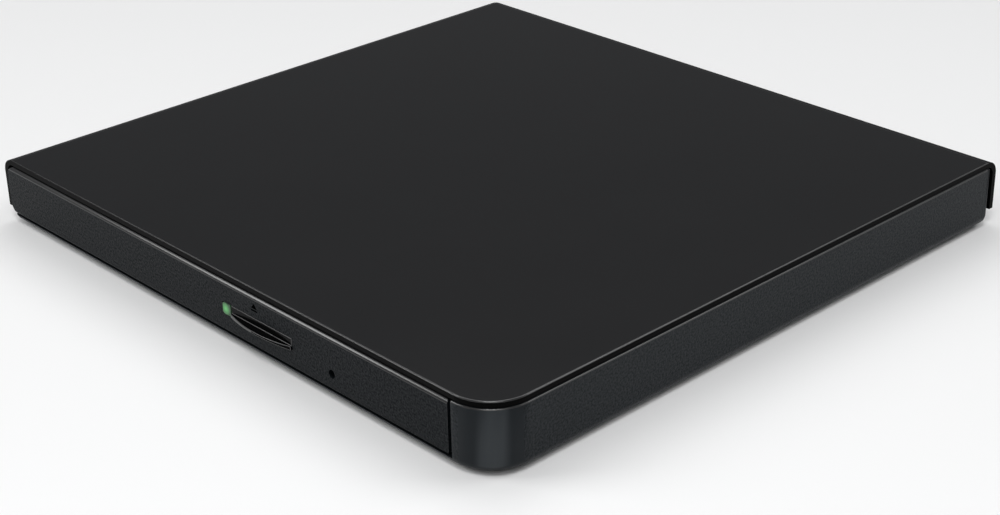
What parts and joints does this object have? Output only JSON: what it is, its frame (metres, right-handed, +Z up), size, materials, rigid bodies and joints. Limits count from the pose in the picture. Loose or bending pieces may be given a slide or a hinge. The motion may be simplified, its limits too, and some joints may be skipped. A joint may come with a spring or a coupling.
{
  "type": "optical_disc_drive",
  "caption": "Slim external disc drive with a glossy wrapped top cover, sliding tray, eject button, spindle with sprung hub and tracking pickup",
  "frame": {"origin": "middle of the bounding box's footprint, on the surface that the feet stand on", "axes": "+X to the right along the front, +Y to the rear, +Z up"},
  "size_m": [0.144, 0.139, 0.014],
  "materials": {
    "cover_gloss": "gloss",
    "case_satin": "satin",
    "button_gloss": "gloss",
    "lamp_green": "gloss",
    "foot_rubber": "matte",
    "screw_steel": "satin",
    "sheet_steel": "satin",
    "shaft_chrome": "polished",
    "board_green": "satin",
    "chip_black": "matte",
    "ivory_plastic": "satin",
    "tray_black": "satin",
    "guide_white": "satin",
    "cable_amber": "satin",
    "cast_frame": "matte",
    "copper_coil": "satin",
    "laser_brass": "polished",
    "lens_glass": "polished"
  },
  "bodies": {
    "case": {"top_cover": "cover_gloss", "bottom_case": "case_satin", "rubber_feet": "foot_rubber", "case_screws": "screw_steel", "usb_board": "board_green", "usb_chips": "chip_black", "usb_socket": "sheet_steel", "usb_tongue": "chip_black", "usb_board_screws": "screw_steel", "drive_pan": "sheet_steel", "drive_lid": "sheet_steel", "lid_screws": "screw_steel", "pan_screws": "screw_steel", "lock_post": "screw_steel", "rear_board": "board_green", "rear_board_screws": "screw_steel", "link_connector": "ivory_plastic", "rear_cable_socket": "ivory_plastic", "left_guide": "guide_white", "right_guide": "guide_white", "flat_cable": "cable_amber"},
    "left_rail": {"left_rail": "sheet_steel"},
    "right_rail": {"right_rail": "sheet_steel"},
    "tray": {"disc_tray": "tray_black", "tray_plate": "sheet_steel", "tray_plate_screws": "screw_steel", "front_bezel": "case_satin", "lamp_lens": "lamp_green", "lamp_chip": "ivory_plastic", "eject_switch": "chip_black", "tray_board": "board_green", "tray_chips": "chip_black", "tray_board_screws": "screw_steel", "tray_cable_socket": "ivory_plastic", "traverse_frame": "cast_frame", "traverse_cover": "tray_black", "dampers": "foot_rubber", "damper_screws": "screw_steel", "main_shaft": "shaft_chrome", "sub_shaft": "shaft_chrome", "feed_motor": "screw_steel", "motor_base": "cast_frame", "stator": "copper_coil", "solenoid": "copper_coil"},
    "eject_button": {"eject_button": "button_gloss"},
    "switch_plunger": {"switch_plunger": "ivory_plastic"},
    "turntable": {"turntable": "sheet_steel", "turntable_pad": "foot_rubber"},
    "claw_1": {"claw_1": "ivory_plastic"},
    "claw_2": {"claw_2": "ivory_plastic"},
    "claw_3": {"claw_3": "ivory_plastic"},
    "pickup": {"pickup_body": "cast_frame", "feed_tooth": "ivory_plastic", "laser_diode": "laser_brass", "lens_yoke": "sheet_steel"},
    "lens": {"objective_lens": "lens_glass"},
    "lead_screw": {"lead_screw": "shaft_chrome"},
    "latch_lever": {"latch_lever": "sheet_steel"},
    "solenoid_plunger": {"solenoid_plunger": "shaft_chrome"},
    "eject_pusher": {"eject_pusher": "ivory_plastic"}
  },
  "joints": [
    {"name": "tray_slide", "type": "slide", "parent": "case", "child": "tray", "axis": [0, -1, 0], "range_m": [0, 0.125], "deforming": ["flat_cable"]},
    {"name": "left_rail_slide", "type": "slide", "parent": "case", "child": "left_rail", "axis": [0, -1, 0], "range_m": [0, 0.0625]},
    {"name": "right_rail_slide", "type": "slide", "parent": "case", "child": "right_rail", "axis": [0, -1, 0], "range_m": [0, 0.0625]},
    {"name": "pusher_slide", "type": "slide", "parent": "tray", "child": "eject_pusher", "axis": [0, 1, 0], "range_m": [0, 0.012]},
    {"name": "eject_press", "type": "slide", "parent": "tray", "child": "eject_button", "axis": [0, 1, 0], "range_m": [0, 0.0006], "stiffness_N_per_m": 800},
    {"name": "switch_press", "type": "slide", "parent": "tray", "child": "switch_plunger", "axis": [0, 1, 0], "range_m": [0, 0.0006]},
    {"name": "spindle_spin", "type": "hinge", "parent": "tray", "child": "turntable", "pos_m": [-0.004, -0.004, 0.0085], "axis": [0, 0, 1], "continuous": true},
    {"name": "claw_1_slide", "type": "slide", "parent": "turntable", "child": "claw_1", "axis": [0.7071, -0.7071, 0], "range_m": [-0.0006, 0.0003], "stiffness_N_per_m": 600},
    {"name": "claw_2_slide", "type": "slide", "parent": "turntable", "child": "claw_2", "axis": [0.2588, 0.9659, 0], "range_m": [-0.0006, 0.0003]},
    {"name": "claw_3_slide", "type": "slide", "parent": "turntable", "child": "claw_3", "axis": [-0.9659, -0.2588, 0], "range_m": [-0.0006, 0.0003]},
    {"name": "pickup_feed", "type": "slide", "parent": "tray", "child": "pickup", "axis": [-0.7071, -0.7071, 0], "range_m": [0, 0.0335]},
    {"name": "lens_focus", "type": "slide", "parent": "pickup", "child": "lens", "axis": [0, 0, 1], "range_m": [-0.0004, 0.0004], "stiffness_N_per_m": 40},
    {"name": "screw_turn", "type": "hinge", "parent": "tray", "child": "lead_screw", "pos_m": [-0.0127, -0.03773, 0.0054], "axis": [-0.7071, -0.7071, 0], "range_deg": [-4030, 0]},
    {"name": "latch_turn", "type": "hinge", "parent": "tray", "child": "latch_lever", "pos_m": [0.0455, -0.042, 0.0044], "axis": [0, 0, 1], "range_deg": [0, 14]},
    {"name": "solenoid_slide", "type": "slide", "parent": "tray", "child": "solenoid_plunger", "axis": [1, 0, 0], "range_m": [0, 0.00366], "stiffness_N_per_m": 20}
  ],
  "couplings": [
    {"joint": "left_rail_slide", "follows": "tray_slide", "ratio": 0.5},
    {"joint": "right_rail_slide", "follows": "tray_slide", "ratio": 0.5},
    {"joint": "pusher_slide", "follows": "tray_slide", "ratio": 0.096},
    {"joint": "switch_press", "follows": "eject_press", "ratio": 1},
    {"joint": "claw_2_slide", "follows": "claw_1_slide", "ratio": 1},
    {"joint": "claw_3_slide", "follows": "claw_1_slide", "ratio": 1},
    {"joint": "screw_turn", "follows": "pickup_feed", "rad_per_m": -2094.4},
    {"joint": "latch_turn", "follows": "solenoid_slide", "rad_per_m": 66.667}
  ]
}
